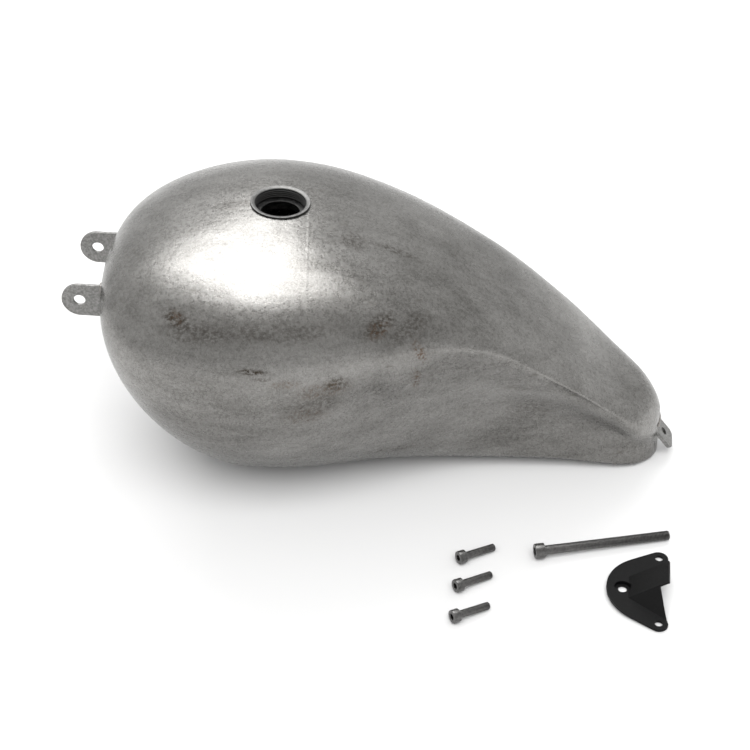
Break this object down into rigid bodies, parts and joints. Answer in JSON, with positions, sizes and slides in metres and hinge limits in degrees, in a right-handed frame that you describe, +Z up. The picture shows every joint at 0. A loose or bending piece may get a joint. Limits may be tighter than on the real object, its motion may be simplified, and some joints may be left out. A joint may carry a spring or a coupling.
{
  "type": "motorcycle fuel tank",
  "caption": "Stretched teardrop fuel tank in bare welded steel with open filler neck, front and rear ears, and its loose bracket and socket-head screws.",
  "frame": {"origin": "on the underside of the tunnel roof, on the centre plane, 200 mm back from the nose of the body", "axes": "+X towards the tail, +Y to the rider's right, +Z up; the mount tunnel_roof faces -Z"},
  "size_m": [0.6466, 0.4927, 0.2896],
  "materials": {
    "raw_sheet_steel": "raw, mottled",
    "turned_steel": "turned",
    "ear_steel": "dull, mottled",
    "dark_screw_steel": "dark oiled steel",
    "black_powder_coat": "satin black powder coat"
  },
  "bodies": {
    "tank": {"left_shell": "raw_sheet_steel", "right_shell": "raw_sheet_steel", "left_floor_pan": "raw_sheet_steel", "right_floor_pan": "raw_sheet_steel", "tail_floor": "raw_sheet_steel", "backbone_tunnel": "raw_sheet_steel", "filler_neck": "turned_steel", "cap_seat_ring": "turned_steel", "left_front_ear": "ear_steel", "right_front_ear": "ear_steel", "rear_ear": "ear_steel", "front_baffle": "raw_sheet_steel", "rear_baffle": "raw_sheet_steel", "fuel_outlet_bung": "turned_steel", "left_crossover_nipple": "turned_steel", "right_crossover_nipple": "turned_steel", "vent_pipe": "turned_steel"},
    "rear_bracket": {"rear_bracket": "black_powder_coat"},
    "long_screw": {"long_screw": "dark_screw_steel"},
    "short_screw_1": {"short_screw_1": "dark_screw_steel"},
    "short_screw_2": {"short_screw_2": "dark_screw_steel"},
    "short_screw_3": {"short_screw_3": "dark_screw_steel"}
  },
  "joints": [
    {"name": "rear_bracket_lift", "type": "slide", "parent": "tank", "child": "rear_bracket", "axis": [0, 0, 1], "range_m": [0, 0.32]},
    {"name": "long_screw_lift", "type": "slide", "parent": "tank", "child": "long_screw", "axis": [0, 0, 1], "range_m": [0, 0.32]},
    {"name": "short_screw_1_lift", "type": "slide", "parent": "tank", "child": "short_screw_1", "axis": [0, 0, 1], "range_m": [0, 0.32]},
    {"name": "short_screw_2_lift", "type": "slide", "parent": "tank", "child": "short_screw_2", "axis": [0, 0, 1], "range_m": [0, 0.32]},
    {"name": "short_screw_3_lift", "type": "slide", "parent": "tank", "child": "short_screw_3", "axis": [0, 0, 1], "range_m": [0, 0.32]}
  ]
}
